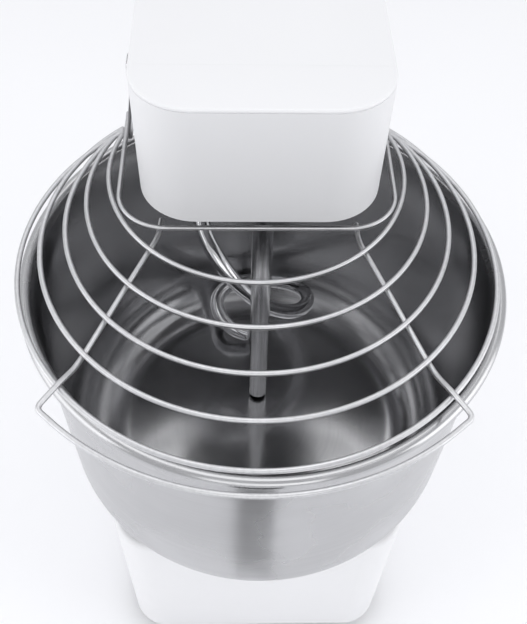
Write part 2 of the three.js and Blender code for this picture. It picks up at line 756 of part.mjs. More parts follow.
const extent = new THREE.Box3().setFromObject(machine);
machine.position.set(0, -(extent.min.y + extent.max.y) / 2, RIM_HEIGHT);

export default machine;
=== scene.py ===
"""Spiral dough mixer: the detailed surfaces, materials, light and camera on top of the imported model.

Everything is in metres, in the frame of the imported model: +Z up, -Y the front, +X the right side.
"""

import json
import math

import bmesh
import bpy
from mathutils import Matrix, Vector
from mathutils.geometry import tessellate_polygon


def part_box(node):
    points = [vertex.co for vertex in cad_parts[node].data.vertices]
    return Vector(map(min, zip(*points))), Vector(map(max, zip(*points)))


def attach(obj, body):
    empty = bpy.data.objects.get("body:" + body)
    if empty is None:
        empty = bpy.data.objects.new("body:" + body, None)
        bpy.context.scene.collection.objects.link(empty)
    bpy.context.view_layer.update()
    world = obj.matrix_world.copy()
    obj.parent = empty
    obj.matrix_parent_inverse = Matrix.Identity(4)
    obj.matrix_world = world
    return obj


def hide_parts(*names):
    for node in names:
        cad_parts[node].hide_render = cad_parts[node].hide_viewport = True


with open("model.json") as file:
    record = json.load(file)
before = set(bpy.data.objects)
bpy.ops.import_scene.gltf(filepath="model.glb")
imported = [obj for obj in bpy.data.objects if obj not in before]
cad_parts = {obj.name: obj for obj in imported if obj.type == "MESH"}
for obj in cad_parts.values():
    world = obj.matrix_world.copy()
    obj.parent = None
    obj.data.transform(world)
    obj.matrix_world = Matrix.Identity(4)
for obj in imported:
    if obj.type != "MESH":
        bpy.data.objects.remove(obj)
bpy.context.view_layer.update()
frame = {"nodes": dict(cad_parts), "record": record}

MM = 0.001
UP = Vector((0, 0, 1))

# ---- Places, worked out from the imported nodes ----


def middle(node):
    """The middle of a node's box at rest."""
    low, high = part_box(node)
    return (Vector(low) + Vector(high)) / 2


def span(node):
    low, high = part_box(node)
    return Vector(high) - Vector(low)


WIRE_RADIUS = 2.25 * MM
BEAD_RADIUS = 5.1 * MM  # of the bowl's rolled rim
SHEET = 2 * MM  # of the painted covers

bowl_axis = middle("bowl")
bowl_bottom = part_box("bowl")[0][2]
rim_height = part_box("bowl")[1][2] - BEAD_RADIUS
rim_radius = span("bowl").x / 2 - BEAD_RADIUS
guard_x = middle("guard_frame").x
guard_height = middle("guard_frame").z
seam_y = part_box("head_cover")[0][1]


def at(x, y, z):
    """A point given in millimetres from the bowl's axis and the middle of its rim."""
    return Vector((x * MM, bowl_axis.y + y * MM, rim_height + z * MM))


# ---- Mesh helpers ----


def mesh_object(name, vertices, faces, sharp_degrees=35):
    """A finished object from vertices and faces."""
    mesh = bpy.data.meshes.new(name)
    mesh.from_pydata([tuple(v) for v in vertices], [], faces)
    return finished(name, mesh, sharp_degrees)


def shade(mesh, sharp_degrees):
    """Smooth, except where faces meet at more than sharp_degrees."""
    mesh.shade_smooth()
    mesh.set_sharp_from_angle(angle=math.radians(sharp_degrees))


def finished(name, mesh, sharp_degrees=35):
    """An object with its faces outward, shaded, in the scene."""
    work = bmesh.new()
    work.from_mesh(mesh)
    bmesh.ops.remove_doubles(work, verts=work.verts, dist=1e-6)
    bmesh.ops.recalc_face_normals(work, faces=work.faces)
    work.to_mesh(mesh)
    work.free()
    shade(mesh, sharp_degrees)
    obj = bpy.data.objects.new(name, mesh)
    bpy.context.scene.collection.objects.link(obj)
    return obj


def loft(loops, ring=False):
    """Vertices and faces of a skin through loops with the same number of points.

    A ring joins the last loop to the first; otherwise both ends are closed by a face.
    """
    count = len(loops[0])
    vertices = [point for loop in loops for point in loop]
    faces = []
    rows = len(loops) if ring else len(loops) - 1
    for i in range(rows):
        a, b = i * count, ((i + 1) % len(loops)) * count
        for k in range(count):
            n = (k + 1) % count
            faces.append((a + k, a + n, b + n, b + k))
    if not ring:
        faces.append(tuple(range(count)))
        faces.append(tuple(range((len(loops) - 1) * count, len(loops) * count)))
    return vertices, faces


def arc(centre, radius, start, end, steps):
    """Points of a flat arc, angles in degrees."""
    angles = [math.radians(start + (end - start) * i / steps) for i in range(steps + 1)]
    return [(centre[0] + radius * math.cos(a), centre[1] + radius * math.sin(a)) for a in angles]


def direction_at(path, i):
    """The direction of a path at its point i, from the points beside it."""
    return (path[min(i + 1, len(path) - 1)] - path[max(i - 1, 0)]).normalized()


def rod(name, points, radius, sides=20):
    """A round rod along points, with domed ends. The section never twists."""
    points = [Vector(p) for p in points]
    ahead = [direction_at(points, i) for i in range(len(points))]
    dome_rings = 5
    dome_height = radius * 0.7
    dome_angles = [math.pi / 2 * k / (dome_rings + 0.4) for k in range(1, dome_rings + 1)]
    side = ahead[0].orthogonal().normalized()
    loops = []
    for angle in reversed(dome_angles):
        centre = points[0] - ahead[0] * dome_height * math.sin(angle)
        loops.append(circle(centre, ahead[0], side, radius * math.cos(angle), sides))
    for i, point in enumerate(points):
        side = (side - ahead[i] * side.dot(ahead[i])).normalized()
        loops.append(circle(point, ahead[i], side, radius, sides))
    for angle in dome_angles:
        centre = points[-1] + ahead[-1] * dome_height * math.sin(angle)
        loops.append(circle(centre, ahead[-1], side, radius * math.cos(angle), sides))
    return mesh_object(name, *loft(loops))


def circle(centre, normal, side, radius, sides):
    """Points of a circle about a normal. The first lies towards side."""
    other = normal.cross(side)
    turns = [2 * math.pi * k / sides for k in range(sides)]
    return [centre + side * (radius * math.cos(t)) + other * (radius * math.sin(t)) for t in turns]


def turned(name, profile, centre, direction=UP, segments=64, sharp_degrees=35):
    """Turns (radius, height) points round an axis through centre. A profile may close on itself."""
    direction = Vector(direction).normalized()
    side = direction.orthogonal().normalized()
    ring = profile[0] == profile[-1]
    points = profile[:-1] if ring else profile
    loops = []
    for radius, height in points:
        loops.append(circle(centre + direction * height, direction, side, max(radius, 1e-5), segments))
    return mesh_object(name, *loft(loops, ring=ring), sharp_degrees)


def drill(piece, holes):
    """Cuts round holes through a closed sheet piece. A hole is its centre, direction and radius."""
    reach = 10 * MM  # to each side of the sheet
    for centre, direction, radius in holes:
        profile = [(0, -reach), (radius, -reach), (radius, reach), (0, reach)]
        bit = turned("bit", profile, centre, direction, 48)
        hole = piece.modifiers.new("hole", "BOOLEAN")
        hole.operation = "DIFFERENCE"
        hole.solver = "EXACT"
        hole.object = bit
        pierced = piece.evaluated_get(bpy.context.evaluated_depsgraph_get())
        mesh = bpy.data.meshes.new_from_object(pierced)
        piece.modifiers.clear()
        piece.data = mesh
        bpy.data.objects.remove(bit)
    shade(piece.data, 35)


def rounded_plan(low, high, front_radius, back_radius, inset):
    """A plan outline with rounded corners, moved inwards by inset."""
    steps = 14
    left, front = low[0] + inset, low[1] + inset
    right, back = high[0] - inset, high[1] - inset
    fr, br = max(front_radius - inset, 1e-4), max(back_radius - inset, 1e-4)
    return [
        *arc((left + fr, front + fr), fr, 180, 270, steps),
        *arc((right - fr, front + fr), fr, 270, 360, steps),
        *arc((right - br, back - br), br, 0, 90, steps),
        *arc((left + br, back - br), br, 90, 180, steps),
    ]


def folded_cover(plan, bottom, top, fold, groove=0.0):
    """A pressed sheet cover: walls, a rounded fold and a top, open below. plan(inset) gives its outline.

    The fold is a radius, no less than the sheet's thickness. A groove of the given depth can run round
    the wall, just below the fold.
    """
    loops = []
    steps = 8
    inner = fold - SHEET

    def at_height(inset, z):
        return [Vector((x, y, z)) for x, y in plan(inset)]

    for k in range(steps, -1, -1):
        angle = math.pi / 2 * k / steps
        inset = SHEET + inner * (1 - math.cos(angle))
        loops.append(at_height(inset, top - fold + inner * math.sin(angle)))
    loops.append(at_height(SHEET, bottom))
    loops.append(at_height(0, bottom))
    if groove:
        section = [(0, 1.1 * MM), (groove, 0.95 * MM), (groove, 0.45 * MM), (0, 0.3 * MM)]
        for inset, below in section:
            loops.append(at_height(inset, top - fold - below))
    for k in range(steps + 1):
        angle = math.pi / 2 * k / steps
        loops.append(at_height(fold * (1 - math.cos(angle)), top - fold + fold * math.sin(angle)))
    return loft(loops)


def keep_side(mesh_data, y, front):
    """Cuts a closed mesh at a plane y and keeps its front or rear side, with the cut closed."""
    mesh = bpy.data.meshes.new("cut")
    mesh.from_pydata([tuple(v) for v in mesh_data[0]], [], mesh_data[1])
    work = bmesh.new()
    work.from_mesh(mesh)
    geometry = work.verts[:] + work.edges[:] + work.faces[:]
    normal = (0, 1, 0) if front else (0, -1, 0)
    cut = bmesh.ops.bisect_plane(work, geom=geometry, plane_co=(0, y, 0), plane_no=normal, clear_outer=True)
    edges = [e for e in cut["geom_cut"] if isinstance(e, bmesh.types.BMEdge)]
    bmesh.ops.holes_fill(work, edges=edges)
    work.to_mesh(mesh)
    work.free()
    return mesh


def pierced_plate(name, low, high, corner_radius, holes):
    """A plate that faces +X between two corners, with a softened edge and round holes (y, z, radius)."""
    edge = 0.5 * MM

    def outline(inset):
        r = corner_radius - inset
        y0, z0, y1, z1 = low[1] + inset, low[2] + inset, high[1] - inset, high[2] - inset
        return [
            *arc((y0 + r, z0 + r), r, 180, 270, 8),
            *arc((y1 - r, z0 + r), r, 270, 360, 8),
            *arc((y1 - r, z1 - r), r, 0, 90, 8),
            *arc((y0 + r, z1 - r), r, 90, 180, 8),
        ]

    rims = [arc((y, z), radius, 0, 360, 48)[:-1] for y, z, radius in holes]
    vertices, faces = [], []

    def add_loop(points, x):
        start = len(vertices)
        vertices.extend(Vector((x, y, z)) for y, z in points)
        return list(range(start, len(vertices)))

    def add_wall(first, second):
        for k in range(len(first)):
            n = (k + 1) % len(first)
            faces.append((first[k], first[n], second[n], second[k]))

    def add_face(loops):
        numbers = [number for loop in loops for number in loop]
        flat = [[Vector((vertices[n].y, vertices[n].z, 0)) for n in loop] for loop in loops]
        faces.extend(tuple(numbers[k] for k in triangle) for triangle in tessellate_polygon(flat))

    back = add_loop(outline(0), low[0])
    shoulder = add_loop(outline(0), high[0] - edge)
    front = add_loop(outline(edge), high[0])
    add_wall(back, shoulder)
    add_wall(shoulder, front)
    back_rims = [add_loop(rim, low[0]) for rim in rims]
    front_rims = [add_loop(rim, high[0]) for rim in rims]
    for back_rim, front_rim in zip(back_rims, front_rims):
        add_wall(back_rim, front_rim)
    add_face([back, *back_rims])
    add_face([front, *front_rims])
    return mesh_object(name, vertices, faces)


def joined(name, parts):
    """One object from several, for repeated small features of one piece."""
    work = bmesh.new()
    for part in parts:
        work.from_mesh(part.data)
        bpy.data.objects.remove(part)
    mesh = bpy.data.meshes.new(name)
    work.to_mesh(mesh)
    work.free()
    return finished(name, mesh)


# ---- Materials ----


class Shader:
    """A Principled material with helpers for procedural detail in the object's own coordinates."""

    def __init__(self, name, color, metallic=0.0, roughness=0.5, **sockets):
        self.material = bpy.data.materials.new(name)
        self.material.use_nodes = True
        self.nodes = self.material.node_tree.nodes
        self.links = self.material.node_tree.links
        self.surface = self.nodes["Principled BSDF"]
        self.surface.inputs["Base Color"].default_value = (*color, 1)
        self.surface.inputs["Metallic"].default_value = metallic
        self.surface.inputs["Roughness"].default_value = roughness
        for socket, value in sockets.items():
            self.surface.inputs[socket.replace("_", " ")].default_value = value
        self.coordinates = self.nodes.new("ShaderNodeTexCoord").outputs["Object"]

    def link(self, output, node, socket):
        self.links.new(output, node.inputs[socket])

    def stretched(self, scale):
        mapping = self.nodes.new("ShaderNodeMapping")
        mapping.inputs["Scale"].default_value = scale
        self.link(self.coordinates, mapping, "Vector")
        return mapping.outputs["Vector"]

    def vector_math(self, operation, vector, other=None):
        node = self.nodes.new("ShaderNodeVectorMath")
        node.operation = operation
        self.link(vector, node, 0)
        if other is not None:
            node.inputs[1].default_value = other
        return node.outputs["Value" if operation == "LENGTH" else "Vector"]

    def around(self, centre, lines):
        """Coordinates of the distance from an upright axis and the height, for lathe lines."""
        moved = self.vector_math("SUBTRACT", self.coordinates, centre)
        distance = self.vector_math("LENGTH", self.vector_math("MULTIPLY", moved, (1, 1, 0)))
        parts = self.nodes.new("ShaderNodeSeparateXYZ")
        self.link(moved, parts, 0)
        rings = self.nodes.new("ShaderNodeCombineXYZ")
        self.link(distance, rings, "X")
        self.link(parts.outputs["Z"], rings, "Z")
        return self.vector_math("MULTIPLY", rings.outputs["Vector"], (lines, 1, lines))

    def noise(self, vector, scale=1.0, detail=3.0, roughness=0.55):
        texture = self.nodes.new("ShaderNodeTexNoise")
        texture.inputs["Scale"].default_value = scale
        texture.inputs["Detail"].default_value = detail
        texture.inputs["Roughness"].default_value = roughness
        self.link(vector, texture, "Vector")
        return texture.outputs["Fac"]

    def ranged(self, value, low, high, socket):
        """Sends a noise value to a shader socket as low to high. Noise lies mostly between 0.3 and 0.7."""
        spread = self.nodes.new("ShaderNodeMapRange")
        spread.inputs["To Min"].default_value = low
        spread.inputs["To Max"].default_value = high
        spread.inputs["From Min"].default_value = 0.3
        spread.inputs["From Max"].default_value = 0.7
        self.link(value, spread, "Value")
        self.link(spread.outputs["Result"], self.surface, socket)

    def tinted(self, value, dark, light):
        ramp = self.nodes.new("ShaderNodeValToRGB")
        ramp.color_ramp.elements[0].position = 0.3
        ramp.color_ramp.elements[0].color = (*dark, 1)
        ramp.color_ramp.elements[1].position = 0.7
        ramp.color_ramp.elements[1].color = (*light, 1)
        self.link(value, ramp, "Fac")
        self.link(ramp.outputs["Color"], self.surface, "Base Color")

    def bumped(self, height, strength, distance):
        bump = self.nodes.new("ShaderNodeBump")
        bump.inputs["Strength"].default_value = strength
        bump.inputs["Distance"].default_value = distance
        self.link(height, bump, "Height")
        self.link(bump.outputs["Normal"], self.surface, "Normal")


def grey(value, blue=1.02):
    return (value, value, value * blue)


def powder_coat():
    shader = Shader("powder_coat_white", grey(0.8), roughness=0.42, Coat_Weight=0.15, Coat_Roughness=0.3)
    shader.tinted(shader.noise(shader.coordinates, 6, 2), grey(0.795), grey(0.81))
    peel = shader.noise(shader.coordinates, 900, 2)
    shader.ranged(shader.noise(shader.coordinates, 40, 3), 0.38, 0.48, "Roughness")
    shader.bumped(peel, 0.12, 0.05 * MM)
    return shader.material


def spun_steel(name, value, roughness):
    """Sheet steel with fine lathe lines round the bowl's axis, which spread reflections across them."""
    lines = 300  # per metre
    shader = Shader(name, grey(value), 1.0, roughness, Anisotropic=0.7, Anisotropic_Rotation=0.25)
    tangent = shader.nodes.new("ShaderNodeTangent")
    tangent.direction_type = "RADIAL"
    tangent.axis = "Z"
    shader.link(tangent.outputs["Tangent"], shader.surface, "Tangent")
    fine = shader.noise(shader.around(tuple(bowl_axis), lines), 1, 2)
    smudges = shader.noise(shader.coordinates, 9, 3, 0.5)
    shader.tinted(fine, grey(value * 0.96), grey(min(1, value * 1.03)))
    shader.ranged(smudges, roughness * 0.7, roughness * 1.5, "Roughness")
    return shader.material


def drawn_steel(name, value, roughness, scale=(300, 300, 300), streak=0.06):
    """Polished bar, rod or sheet with drawing marks, as strong as streak, and handling smudges."""
    shader = Shader(name, grey(value), 1.0, roughness)
    fine = shader.noise(shader.stretched(scale), 1, 3)
    smudge = shader.noise(shader.coordinates, 18, 4, 0.65)
    shader.tinted(fine, grey(value * (1 - streak)), grey(min(1, value * (1 + streak))))
    shader.ranged(smudge, roughness * 0.8, roughness * 1.35, "Roughness")
    shader.bumped(fine, 0.1, 0.02 * MM)
    return shader.material


def casting():
    shader = Shader("cast_iron", (0.09, 0.1, 0.11), 0.35, 0.65)
    grain = shader.noise(shader.coordinates, 350, 4)
    shader.tinted(shader.noise(shader.coordinates, 30, 4), (0.07, 0.075, 0.085), (0.12, 0.125, 0.13))
    shader.bumped(grain, 0.5, 0.4 * MM)
    return shader.material


def black_rubber():
    shader = Shader("black_rubber", (0.02, 0.02, 0.021), roughness=0.75)
    shader.tinted(shader.noise(shader.coordinates, 60, 4), (0.014, 0.014, 0.015), (0.03, 0.03, 0.031))
    shader.bumped(shader.noise(shader.coordinates, 1400, 2), 0.3, 0.1 * MM)
    return shader.material


def moulded_plastic(name, color, roughness, texture=0.2):
    shader = Shader(name, color, roughness=roughness, Specular_IOR_Level=0.5)
    dark = tuple(c * 0.88 for c in color)
    light = tuple(min(1, c * 1.1 + 0.002) for c in color)
    shader.tinted(shader.noise(shader.coordinates, 25, 3), dark, light)
    shader.ranged(shader.noise(shader.coordinates, 90, 3), roughness * 0.85, roughness * 1.15, "Roughness")
    shader.bumped(shader.noise(shader.coordinates, 2200, 2), texture, 0.05 * MM)
    return shader.material


def floor_paint():
    shader = Shader("pale_floor", grey(0.93), roughness=0.6)
    shader.tinted(shader.noise(shader.coordinates, 1.5, 2), grey(0.925), grey(0.935))
    return shader.material


paint = powder_coat()
bowl_outer_steel = spun_steel("bowl_outer_steel", 0.52, 0.24)
bowl_inner_steel = spun_steel("bowl_inner_steel", 0.5, 0.16)
drive_steel = spun_steel("drive_steel", 0.5, 0.35)
wire_steel = drawn_steel("wire_steel", 0.63, 0.4)
bar_steel = drawn_steel("bar_steel", 0.43, 0.12, (450, 450, 12), 0.35)
hook_steel = drawn_steel("hook_steel", 0.68, 0.09)
sheet_steel = drawn_steel("sheet_steel", 0.6, 0.3, (20, 600, 600))
machined_steel = drawn_steel("machined_steel", 0.45, 0.35)
iron = casting()
rubber = black_rubber()
dark_plastic = moulded_plastic("dark_plastic", (0.035, 0.036, 0.038), 0.45)
green_plastic = moulded_plastic("green_plastic", (0.02, 0.32, 0.09), 0.3, 0.05)
red_plastic = moulded_plastic("red_plastic", (0.55, 0.02, 0.02), 0.3, 0.05)

SLOT_MATERIALS = {
    "paint": paint,
    "stainless": sheet_steel,
    "wire": wire_steel,
    "steel": machined_steel,
    "cast_iron": iron,
    "rubber": rubber,
    "dark_plastic": dark_plastic,
    "green_plastic": green_plastic,
    "red_plastic": red_plastic,
}


def place(piece, body, material, slot, *nodes):
    """Gives a piece its material, lets it ride on its body, and hides the CAD nodes that it stands for."""
    piece.data.materials.clear()
    piece.data.materials.append(material)
    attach(piece, body)
    if nodes:
        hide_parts(*nodes)


def paint_cad_nodes():
    """Every carried-over CAD node takes the material of its slot in the record."""
    for subpart in frame["record"]["subparts"]:
        node = frame["nodes"][subpart["node"]]
        node.data.materials.clear()
        node.data.materials.append(SLOT_MATERIALS[subpart["material_slot"]])


# ---- Head, column and base ----


def plan_of(low, high, front_radius, back_radius):
    """The rounded plan of a box, as a function of the inset."""

    def outline(inset):
        return rounded_plan(low, high, front_radius, back_radius, inset)

    return outline


def head():
    """One folded cover, cut into a front and a rear hood at a fine seam."""
    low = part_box("head_hood")[0]
    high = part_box("head_cover")[1]
    front_corner, back_corner = 50 * MM, 12 * MM
    seam = 0.06 * MM
    plan = plan_of(low, high, front_corner, back_corner)
    whole = folded_cover(plan, low[2], high[2], 2.2 * MM, groove=0.6 * MM)
    hood = finished("front_hood", keep_side(whole, seam_y - seam, True))
    cover = finished("rear_hood", keep_side(whole, seam_y, False))
    place(hood, "machine", paint, "paint", "head_hood")
    place(cover, "machine", paint, "paint", "head_cover")


def base():
    """The base's cover, with holes for the two shafts in its top and for the cable gland at the rear."""
    low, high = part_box("base_shell")
    front_corner, back_corner = 42.8 * MM, 20 * MM
    plan = plan_of(low, high, front_corner, back_corner)
    shell = mesh_object("base_cover", *folded_cover(plan, low[2], high[2], 6 * MM))
    holes = []
    for node, radius in (("bowl_shaft", 24 * MM), ("countershaft", 18 * MM)):
        centre = middle(node)
        centre.z = high[2]
        holes.append((centre, UP, radius))
    gland = middle("cable_gland")
    gland.y = high[1]
    holes.append((gland, (0, 1, 0), 8 * MM))
    drill(shell, holes)
    place(shell, "machine", paint, "paint", "base_shell")


def column():
    """A folded sheet round the front and sides of the column, open at the rear panel."""
    low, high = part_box("column_shell")
    left, right = low[0], high[0]
    corner = 20 * MM
    steps = 12

    def section(inset):
        r = corner - inset
        front = low[1] + inset
        return [
            (left + inset, high[1]),
            *arc((left + corner, front + r), r, 180, 270, steps),
            *arc((right - corner, front + r), r, 270, 360, steps),
            (right - inset, high[1]),
        ]

    outline = section(0) + list(reversed(section(SHEET)))
    loops = [[Vector((x, y, z)) for x, y in outline] for z in (low[2], high[2])]
    shell = mesh_object("column_cover", *loft(loops))
    place(shell, "machine", paint, "paint", "column_shell")


SCREW_SINK = 0.1 * MM  # how far a screw head's rim sits below its panel's face


def screw(centre, direction, radius, height):
    """A domed screw head with a shallow dish in place of its recess."""
    profile = [(radius, 0)]
    for k in range(7):
        angle = math.pi / 2 * k / 6
        profile.append((radius * (0.35 + 0.65 * math.cos(angle)), height * math.sin(angle)))
    profile += [(radius * 0.28, height * 0.98), (radius * 0.22, height * 0.5), (0, height * 0.45)]
    return turned("screw", profile, centre, direction, 28)


def rear_panel_screws():
    low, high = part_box("rear_panel")
    inset = 9 * MM
    y = high[1] - SCREW_SINK
    screws = []
    for x in (low[0] + inset, high[0] - inset):
        for z in (low[2] + inset, (low[2] + high[2]) / 2, high[2] - inset):
            screws.append(screw(Vector((x, y, z)), (0, 1, 0), 3.5 * MM, 1.5 * MM))
    place(joined("rear_screws", screws), "machine", machined_steel, "steel")


def feet():
    """Rubber feet, widest just above the floor."""
    for node in ("foot_front_left", "foot_front_right", "foot_rear_left", "foot_rear_right"):
        low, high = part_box(node)
        radius = (high[0] - low[0]) / 2
        height = high[2] - low[2]
        profile = [
            (0, 0),
            (radius * 0.86, 0),
            (radius * 0.96, 1 * MM),
            (radius, 3 * MM),
            (radius, 6 * MM),
            (radius * 0.94, 7 * MM),
            (radius * 0.82, height * 0.75),
            (radius * 0.8, height - 1 * MM),
            (radius * 0.76, height),
            (0, height),
        ]
        centre = Vector((middle(node).x, middle(node).y, low[2]))
        foot = turned(node.replace("foot_", "rubber_foot_"), profile, centre, segments=72)
        place(foot, "machine", rubber, "rubber", node)


# ---- Bowl and its drive ----


def bowl():
    """A deep bowl: flat floor, wide corner, slightly tapered wall and a rolled rim."""
    wall = 1.5 * MM
    fillet = 59 * MM
    neck_height = rim_height - 6 * MM
    top_radius = rim_radius - 4.6 * MM
    bottom_radius = rim_radius - 7.4 * MM
    bottom = bowl_bottom
    corner = (bottom_radius - fillet, bottom + fillet)
    profile = [(0, bottom + wall)]
    profile += [(corner[0] * k / 8, bottom + wall) for k in range(1, 8)]
    profile += arc(corner, fillet - wall, -90, 0, 28)
    profile += [(top_radius - wall, neck_height)]
    profile += arc((rim_radius, rim_height), BEAD_RADIUS, 190, -145, 28)
    profile += [(top_radius, neck_height)]
    profile += arc(corner, fillet, 0, -90, 28)
    profile += [(corner[0] * k / 8, bottom) for k in range(7, 0, -1)]
    profile += [(0, bottom)]
    centre = Vector((bowl_axis.x, bowl_axis.y, 0))
    piece = turned("mixing_bowl", profile, centre, segments=256, sharp_degrees=50)
    place(piece, "bowl", bowl_outer_steel, "stainless", "bowl")
    piece.data.materials.append(bowl_inner_steel)
    for face in piece.data.polygons:
        outward = Vector((face.center.x - bowl_axis.x, face.center.y - bowl_axis.y, 0))
        is_wall = face.center.z < neck_height
        if is_wall and (face.normal.dot(outward) < 0 or face.normal.z > 0):
            face.material_index = 1


def bowl_plate():
    """The round plate that carries the bowl."""
    low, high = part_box("bowl_drive_plate")
    radius = (high[0] - low[0]) / 2
    profile = [
        (0, low[2]),
        (radius - 1 * MM, low[2]),
        (radius, low[2] + 1 * MM),
        (radius, high[2] - 1.5 * MM),
        (radius - 1.5 * MM, high[2]),
        (0, high[2]),
    ]
    piece = turned("bowl_coupling", profile, Vector((bowl_axis.x, bowl_axis.y, 0)), segments=128)
    place(piece, "bowl", drive_steel, "steel", "bowl_drive_plate")


def breaker_bar():
    low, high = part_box("breaker_bar")
    radius = (high[0] - low[0]) / 2
    chamfer = 1.5 * MM
    profile = [
        (0, low[2]),
        (radius - chamfer, low[2]),
        (radius, low[2] + chamfer),
        (radius, high[2] - chamfer),
        (radius - chamfer, high[2]),
        (0, high[2]),
    ]
    centre = Vector((middle("breaker_bar").x, middle("breaker_bar").y, 0))
    piece = turned("breaker_rod", profile, centre)
    place(piece, "machine", bar_steel, "stainless", "breaker_bar")


# ---- Hook ----

HOOK_Y = 122  # its axis, in millimetres behind the bowl's
HOOK_START = 280  # degrees about that axis
HOOK_STEP = 71  # degrees from one station to the next
HOOK_ROD = 8.25  # radius
# Distance from the hook's axis and height of the rod's middle at each station, in millimetres.
HOOK_STATIONS = [
    (6, 32),
    (56, -46),
    (56, -90),
    (55, -157),
    (57, -201),
    (54, -232),
    (56, -237),
    (17, -257),
]


def spline(stations, t):
    """Smooth interpolation through evenly spaced stations, as Catmull and Rom do."""
    last = len(stations) - 1
    i = min(int(t * last), last - 1)
    u = t * last - i
    p0, p1 = stations[max(i - 1, 0)], stations[i]
    p2, p3 = stations[i + 1], stations[min(i + 2, last)]
    if i == 0:
        p0 = p1
    if i + 2 > last:
        p3 = p2

    def blend(a, b, c, d):
        v0, v1 = (c - a) / 2, (d - b) / 2
        return (2 * b - 2 * c + v0 + v1) * u**3 + (-3 * b + 3 * c - 2 * v0 - v1) * u**2 + v0 * u + b

    return tuple(blend(a, b, c, d) for a, b, c, d in zip(p0, p1, p2, p3))


def hook():
    """A round rod wound into a spiral, with its hub below the head."""
    points = []
    steps = 260
    for i in range(steps + 1):
        t = i / steps
        distance, height = spline(HOOK_STATIONS, t)
        angle = math.radians(HOOK_START - HOOK_STEP * (len(HOOK_STATIONS) - 1) * t)
        points.append(at(distance * math.cos(angle), HOOK_Y - distance * math.sin(angle), height))
    spiral = rod("hook_spiral", points, HOOK_ROD * MM, 28)
    hub_foot = at(0, HOOK_Y, 18)
    hub_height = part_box("hook")[1][2] - hub_foot.z
    hub_radius, chamfer = 17 * MM, 3 * MM
    profile = [
        (0, 0),
        (hub_radius - chamfer, 0),
        (hub_radius, chamfer),
        (hub_radius, hub_height),
        (0, hub_height),
    ]
    hub = turned("hook_hub", profile, hub_foot)
    place(joined("spiral_hook", [spiral, hub]), "hook", hook_steel, "stainless", "hook")


# ---- Wire guard ----

# In millimetres from the bowl's axis. The two rails are the sides of the guard's U-shaped wire.
RAIL_HALF = 124
RAIL_CORNER = 42
RAIL_FRONT = 22.5
RAIL_BACK = 174
HOOP_BACK = 164
HOOP_OUTSIDE_RAIL = 3.5
HOOPS = [(135.4, 96.7), (152.3, 67.7), (167.5, 39.4), (185.7, 16.5), (200.4, -9.2)]  # radius, y of the middle


def wire_point(x, y, z=None):
    """A point of the guard in millimetres, at the height of its main wires unless z is given."""
    point = at(0, y, 0)
    point.x = guard_x + x * MM
    point.z = guard_height if z is None else rim_height + z * MM
    return point


def softened(points, radius, steps=6):
    """A path through points with each inner bend rounded."""
    result = [points[0]]
    for before, here, after in zip(points, points[1:], points[2:]):
        back, on = (before - here), (after - here)
        reach = min(radius, back.length * 0.45, on.length * 0.45)
        start, end = here + back.normalized() * reach, here + on.normalized() * reach
        for k in range(steps + 1):
            t = k / steps
            result.append(start * (1 - t) ** 2 + here * 2 * t * (1 - t) + end * t**2)
    result.append(points[-1])
    return result


def guard_frame():
    """The U-shaped wire in front of the head."""
    corner_y = RAIL_FRONT + RAIL_CORNER
    inner = RAIL_HALF - RAIL_CORNER
    path = [(-RAIL_HALF, RAIL_BACK)]
    path += arc((-inner, corner_y), RAIL_CORNER, 180, 270, 24)
    path += arc((inner, corner_y), RAIL_CORNER, 270, 360, 24)
    path += [(RAIL_HALF, RAIL_BACK)]
    piece = rod("guard_u_wire", [wire_point(x, y) for x, y in path], WIRE_RADIUS)
    place(piece, "guard", wire_steel, "wire", "guard_frame")


def guard_arcs():
    """Hoops of wire that run back until they meet the rails."""
    for i, (radius, centre_y) in enumerate(HOOPS):
        at_rail = centre_y + math.sqrt(radius**2 - (RAIL_HALF + HOOP_OUTSIDE_RAIL) ** 2)
        end_y = min(at_rail, HOOP_BACK)
        reach = math.degrees(math.acos((centre_y - end_y) / radius))
        path = arc((0, centre_y), radius, -90 - reach, -90 + reach, 120)
        piece = rod(f"guard_hoop_{i + 1}", [wire_point(x, y) for x, y in path], WIRE_RADIUS)
        place(piece, "guard", wire_steel, "wire", f"guard_arc_{i + 1}")


HANDLE_TURN = -1.6  # degrees in plan about the bowl's axis


def guard_handle():
    """One wire: two legs under the hoops, raised where they cross the rim, and a front bow to lift by."""
    low, high = 21.2, 30.8
    side = [
        (86, 34, low),
        (87, 14, low),
        (107.4, -39.7, low),
        (133, -109, low),
        (139, -125, low + 1.5),
        (147, -144, high),
        (160, -165.5, high),
    ]
    bow_radius, bow_middle, bow_half = 225.7, -5.3, 150
    reach = math.degrees(math.asin(bow_half / bow_radius))
    front = arc((0, bow_middle), bow_radius, -90 - reach, -90 + reach, 60)
    bow = [wire_point(x, y, high) for x, y in front]
    left = [wire_point(-x, y, z) for x, y, z in side]
    right = [wire_point(x, y, z) for x, y, z in reversed(side)]
    bend = 10 * MM
    path = [*softened([*left, bow[0]], bend)[:-1], *bow, *softened([bow[-1], *right], bend)[1:]]
    askew = Matrix.Rotation(math.radians(HANDLE_TURN), 3, "Z")
    centre = Vector((bowl_axis.x, bowl_axis.y, 0))
    path = [centre + askew @ (point - centre) for point in path]
    piece = rod("guard_lift_wire", path, WIRE_RADIUS)
    place(piece, "guard", wire_steel, "wire", "guard_handle")


ARM_THICKNESS = 3 * MM
ARM_WIDTH = 30 * MM
ARM_GAP = 1.2 * MM  # from the head's side to the arm
WELD_GAP = 0.3 * MM  # between pieces that the real guard has welded


def head_side(sign):
    """The x of the head's left side for -1 and of its right side for +1."""
    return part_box("head_cover")[1 if sign > 0 else 0][0]


